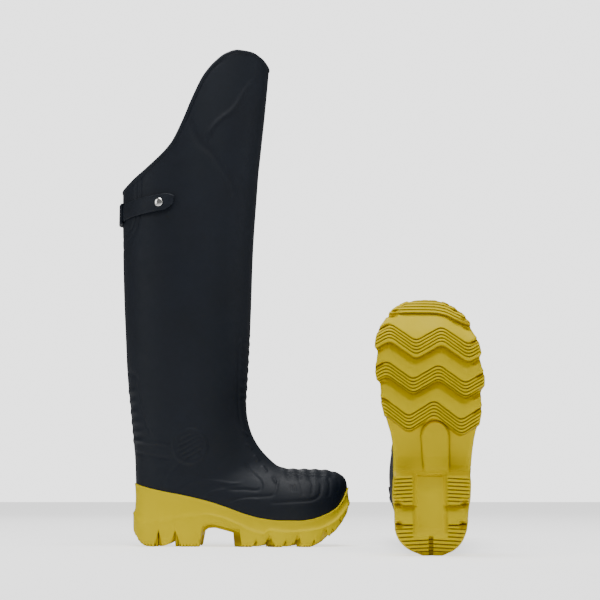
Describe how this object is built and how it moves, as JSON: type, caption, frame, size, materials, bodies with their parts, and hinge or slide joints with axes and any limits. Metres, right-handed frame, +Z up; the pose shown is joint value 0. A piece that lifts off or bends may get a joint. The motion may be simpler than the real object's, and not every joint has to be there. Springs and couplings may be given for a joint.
{
  "type": "deck boots",
  "caption": "Pair of over-knee PVC deck boots with lugged yellow outsoles and a snap strap behind each calf; one stands, one lies sole outwards.",
  "frame": {"origin": "centre of the pair's bounding box, at the floor", "axes": "+Z up, +X along the standing boot's toe, +Y along the lying boot's shaft, away from its tread"},
  "size_m": [0.5094, 0.709, 0.6999],
  "materials": {
    "navy_pvc": "satin",
    "yellow_pvc": "satin",
    "knit": "matte",
    "footbed_foam": "matte",
    "insole_board": "matte",
    "steel": "brushed",
    "nickel": "polished"
  },
  "bodies": {
    "pair": {"right_outsole": "yellow_pvc", "right_midsole_plate": "steel", "right_insole_board": "insole_board", "right_footbed": "footbed_foam", "right_toe_cap": "steel", "right_upper": "navy_pvc", "right_lining": "knit", "right_top_binding": "navy_pvc", "right_strap_anchor": "navy_pvc", "right_strap_keeper": "navy_pvc", "right_snap_stud": "nickel", "right_snap_post": "nickel", "right_strap_rivet": "nickel", "right_rivet_washer": "nickel", "left_outsole": "yellow_pvc", "left_midsole_plate": "steel", "left_insole_board": "insole_board", "left_footbed": "footbed_foam", "left_toe_cap": "steel", "left_upper": "navy_pvc", "left_lining": "knit", "left_top_binding": "navy_pvc", "left_strap_anchor": "navy_pvc", "left_strap_keeper": "navy_pvc", "left_snap_stud": "nickel", "left_snap_post": "nickel", "left_strap_rivet": "nickel", "left_rivet_washer": "nickel"},
    "right_strap_flap": {"right_strap_tail": "navy_pvc", "right_snap_cap": "nickel", "right_snap_socket": "nickel"},
    "left_strap_flap": {"left_strap_tail": "navy_pvc", "left_snap_cap": "nickel", "left_snap_socket": "nickel"}
  },
  "joints": [
    {"name": "right_strap_open", "type": "hinge", "parent": "pair", "child": "right_strap_flap", "pos_m": [-0.24027, -0.01197, 0.46719], "axis": [0, 0, -1], "range_deg": [0, 90]},
    {"name": "left_strap_open", "type": "hinge", "parent": "pair", "child": "left_strap_flap", "pos_m": [0.21688, 0.1279, 0.01555], "axis": [0.0748, 0.995, 0.0662], "range_deg": [0, 60]}
  ]
}
